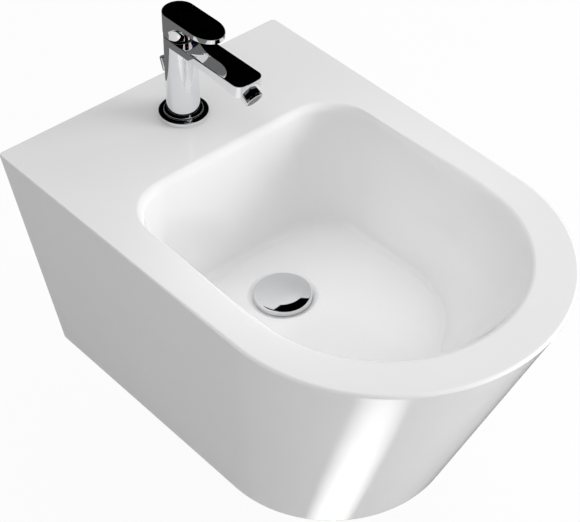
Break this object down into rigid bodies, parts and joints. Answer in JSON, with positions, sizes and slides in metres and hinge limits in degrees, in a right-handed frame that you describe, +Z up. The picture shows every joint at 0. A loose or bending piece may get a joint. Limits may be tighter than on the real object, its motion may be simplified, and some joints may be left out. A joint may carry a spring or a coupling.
{
  "type": "wall-hung bidet with mixer tap",
  "caption": "Wall-hung ceramic bidet with a single-lever mixer tap, a swivelling nozzle and a pop-up waste worked by a pull rod.",
  "frame": {"origin": "midway between the two wall fixings, on the wall's face", "axes": "+Y into the wall, +Z up; the bidet stands out from the wall towards -Y and is symmetric about x = 0"},
  "size_m": [0.3598, 0.5464, 0.4092],
  "materials": {
    "ceramic": "gloss white glaze",
    "chrome": "polished chrome plate",
    "brass": "turned brass",
    "steel": "bright steel",
    "disc_ceramic": "lapped alumina",
    "grey_plastic": "moulded",
    "white_plastic": "moulded white",
    "aerator_plastic": "moulded grey",
    "rubber": "matt black",
    "spindle_brass": "milled brass",
    "red_mark": "enamel",
    "blue_mark": "enamel"
  },
  "bodies": {
    "fixture": {"bidet_deck": "ceramic", "bidet_bowl": "ceramic", "bidet_bowl_floor": "ceramic", "bidet_skirt": "ceramic", "bidet_back": "ceramic", "bidet_foot": "ceramic", "tap_body": "chrome", "base_flange": "chrome", "waste_flange": "chrome", "mounting_stud": "brass", "mounting_nut": "brass", "cartridge_nut": "brass", "nozzle_retainer": "brass", "mounting_washer": "steel", "fixed_disc": "disc_ceramic", "cartridge_cup": "grey_plastic", "fixing_bush_left": "white_plastic", "fixing_bush_right": "white_plastic", "waste_body": "white_plastic", "waste_nut": "white_plastic", "tailpiece": "white_plastic", "pivot_seat": "white_plastic", "pivot_nut": "white_plastic", "base_seal": "rubber", "mounting_gasket": "rubber", "flange_seal": "rubber", "waste_gasket": "rubber", "pivot_gasket": "rubber", "nozzle_oring": "rubber"},
    "rotor": {"cartridge_rotor": "grey_plastic", "spindle_pin": "steel"},
    "disc": {"moving_disc": "disc_ceramic"},
    "lever": {"lever_spindle": "spindle_brass", "lever": "chrome", "lever_screw": "steel", "index_dot_hot": "red_mark", "index_dot_cold": "blue_mark"},
    "nozzle_ring": {"nozzle_seat": "aerator_plastic"},
    "nozzle": {"nozzle_barrel": "chrome", "aerator": "aerator_plastic"},
    "pull_rod": {"lift_rod": "steel", "lift_knob": "chrome", "rod_clamp": "steel", "clamp_screw": "steel"},
    "pivot": {"pivot_rod": "steel"},
    "plug": {"plug_cap": "chrome", "plug_seal": "rubber", "plug_stem": "white_plastic"}
  },
  "joints": [
    {"name": "lever_turn", "type": "hinge", "parent": "fixture", "child": "rotor", "pos_m": [0, -0.07, 0.166], "axis": [0, 0, 1], "range_deg": [-45, 45]},
    {"name": "lever_tilt", "type": "hinge", "parent": "rotor", "child": "lever", "pos_m": [0, -0.07, 0.166], "axis": [-1, 0, 0], "range_deg": [0, 15]},
    {"name": "disc_slide", "type": "slide", "parent": "rotor", "child": "disc", "axis": [0, -1, 0], "range_m": [0, 0.00272]},
    {"name": "nozzle_tilt", "type": "hinge", "parent": "fixture", "child": "nozzle_ring", "pos_m": [0, -0.167, 0.1666], "axis": [1, 0, 0], "range_deg": [-10, 10]},
    {"name": "nozzle_swing", "type": "hinge", "parent": "nozzle_ring", "child": "nozzle", "pos_m": [0, -0.167, 0.1666], "axis": [0, -0.5, 0.866], "range_deg": [-10, 10]},
    {"name": "lift_rod_slide", "type": "slide", "parent": "fixture", "child": "pull_rod", "axis": [0, 0.3256, 0.9455], "range_m": [-0.012, 0]},
    {"name": "pivot_rod_rock", "type": "hinge", "parent": "fixture", "child": "pivot", "pos_m": [0, -0.196, -0.11], "axis": [1, 0, 0], "range_deg": [-9, 0]},
    {"name": "plug_lift", "type": "slide", "parent": "fixture", "child": "plug", "axis": [0, 0, 1], "range_m": [0, 0.00425]}
  ],
  "couplings": [
    {"joint": "disc_slide", "follows": "lever_tilt", "m_per_rad": 0.01038},
    {"joint": "pivot_rod_rock", "follows": "lift_rod_slide", "rad_per_m": 13.082},
    {"joint": "plug_lift", "follows": "lift_rod_slide", "ratio": -0.35396}
  ]
}
